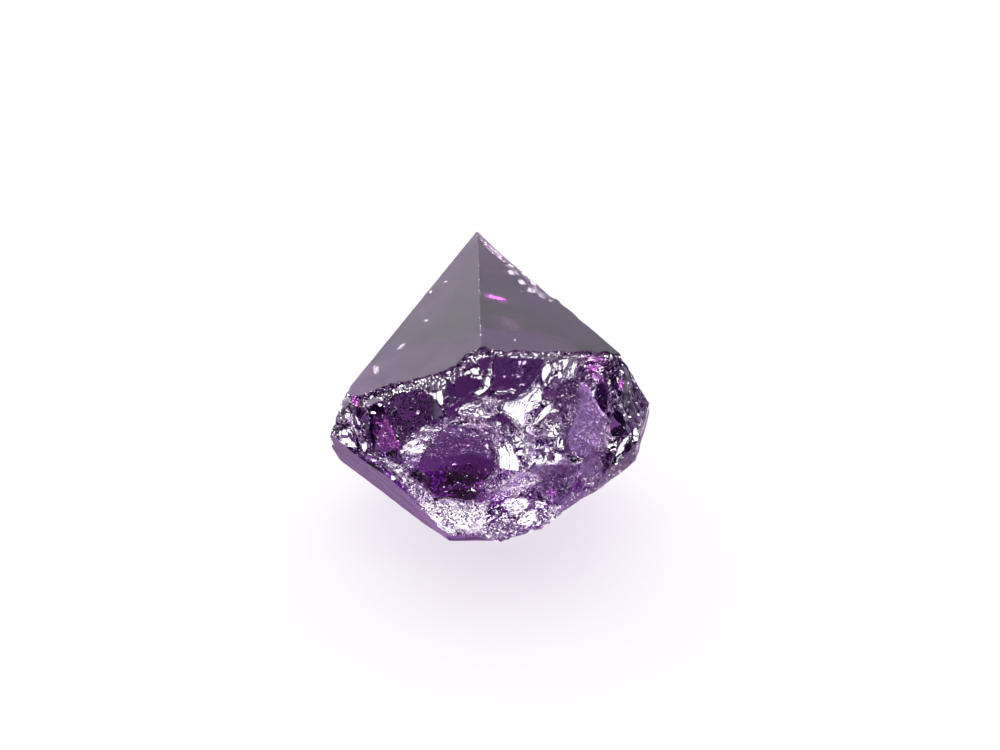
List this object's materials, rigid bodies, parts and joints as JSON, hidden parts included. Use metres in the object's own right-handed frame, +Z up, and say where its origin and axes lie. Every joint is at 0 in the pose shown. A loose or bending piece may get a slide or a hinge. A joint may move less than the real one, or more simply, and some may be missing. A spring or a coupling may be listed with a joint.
{
  "type": "rough amethyst crystal",
  "caption": "Rough purple quartz crystal tip with smooth top faces meeting at a point, broken off in shell-like scoops at the front, lying on a small flat facet.",
  "frame": {"origin": "middle of the stone's bounding box, on the surface that it rests on", "axes": "+Z up, +Y the way the crystal tip points, -Y the broken front, +X to the right seen from the front"},
  "size_m": [0.0184, 0.0152, 0.0147],
  "materials": {
    "amethyst": "clear purple quartz, IOR 1.544, glassy on the fractures, satin with fine growth lines on the natural faces"
  },
  "bodies": {
    "root": {"amethyst_crystal": "amethyst"}
  },
  "joints": []
}
